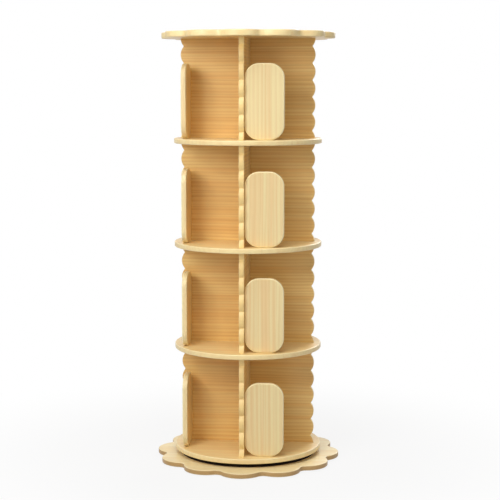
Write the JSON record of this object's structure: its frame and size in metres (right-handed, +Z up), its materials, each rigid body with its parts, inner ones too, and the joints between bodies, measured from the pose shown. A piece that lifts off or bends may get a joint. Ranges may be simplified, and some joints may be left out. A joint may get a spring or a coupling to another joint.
{
  "type": "revolving bookcase",
  "caption": "Tall floor-standing revolving bookcase: round shelves on cross walls with wavy edges and rounded stops, turning on a ball-bearing ring over a scalloped base.",
  "frame": {"origin": "on the floor under the middle of the base board, where the turning axis meets it", "axes": "+Z up along the turning axis; the arms of each cross of walls lie along +X, -X, +Y and -Y at rest"},
  "size_m": [0.556, 0.556, 1.2885],
  "materials": {
    "pine_boards": "clear satin lacquer",
    "pine_walls": "clear satin lacquer",
    "pine_stops": "clear satin lacquer",
    "turntable_ring": "mill",
    "bearing_steel": "polished",
    "cage_plastic": "moulded nylon",
    "screw_steel": "zinc plated",
    "dowel_beech": "bare beech",
    "anti_slip_pad": "matt foam rubber"
  },
  "bodies": {
    "base": {"base_board": "pine_boards", "anti_slip_pads": "anti_slip_pad", "bearing_lower_ring": "turntable_ring", "base_ring_screws": "screw_steel"},
    "ball_cage": {"bearing_cage": "cage_plastic", "bearing_balls": "bearing_steel"},
    "carousel": {"bearing_upper_ring": "turntable_ring", "level_1_dowels": "dowel_beech", "level_1_screws": "screw_steel", "level_2_dowels": "dowel_beech", "level_2_screws": "screw_steel", "level_3_dowels": "dowel_beech", "level_3_screws": "screw_steel", "level_4_dowels": "dowel_beech", "level_4_screws": "screw_steel", "level_5_dowels": "dowel_beech", "shelf_1": "pine_boards", "shelf_2": "pine_boards", "shelf_3": "pine_boards", "shelf_4": "pine_boards", "shelf_ring_screws": "screw_steel", "tier_1_back_stop": "pine_stops", "tier_1_back_wall": "pine_walls", "tier_1_cross_panel": "pine_walls", "tier_1_front_stop": "pine_stops", "tier_1_front_wall": "pine_walls", "tier_1_left_stop": "pine_stops", "tier_1_right_stop": "pine_stops", "tier_1_stop_dowels": "dowel_beech", "tier_1_wall_dowels": "dowel_beech", "tier_2_back_stop": "pine_stops", "tier_2_back_wall": "pine_walls", "tier_2_cross_panel": "pine_walls", "tier_2_front_stop": "pine_stops", "tier_2_front_wall": "pine_walls", "tier_2_left_stop": "pine_stops", "tier_2_right_stop": "pine_stops", "tier_2_stop_dowels": "dowel_beech", "tier_2_wall_dowels": "dowel_beech", "tier_3_back_stop": "pine_stops", "tier_3_back_wall": "pine_walls", "tier_3_cross_panel": "pine_walls", "tier_3_front_stop": "pine_stops", "tier_3_front_wall": "pine_walls", "tier_3_left_stop": "pine_stops", "tier_3_right_stop": "pine_stops", "tier_3_stop_dowels": "dowel_beech", "tier_3_wall_dowels": "dowel_beech", "tier_4_back_stop": "pine_stops", "tier_4_back_wall": "pine_walls", "tier_4_cross_panel": "pine_walls", "tier_4_front_stop": "pine_stops", "tier_4_front_wall": "pine_walls", "tier_4_left_stop": "pine_stops", "tier_4_right_stop": "pine_stops", "tier_4_stop_dowels": "dowel_beech", "tier_4_wall_dowels": "dowel_beech", "top_board": "pine_boards"}
  },
  "joints": [
    {"name": "carousel_spin", "type": "hinge", "parent": "base", "child": "carousel", "pos_m": [0, 0, 0.024], "axis": [0, 0, 1], "continuous": true},
    {"name": "ball_cage_spin", "type": "hinge", "parent": "base", "child": "ball_cage", "pos_m": [0, 0, 0.024], "axis": [0, 0, 1], "continuous": true}
  ],
  "couplings": [
    {"joint": "ball_cage_spin", "follows": "carousel_spin", "ratio": 0.5083}
  ]
}
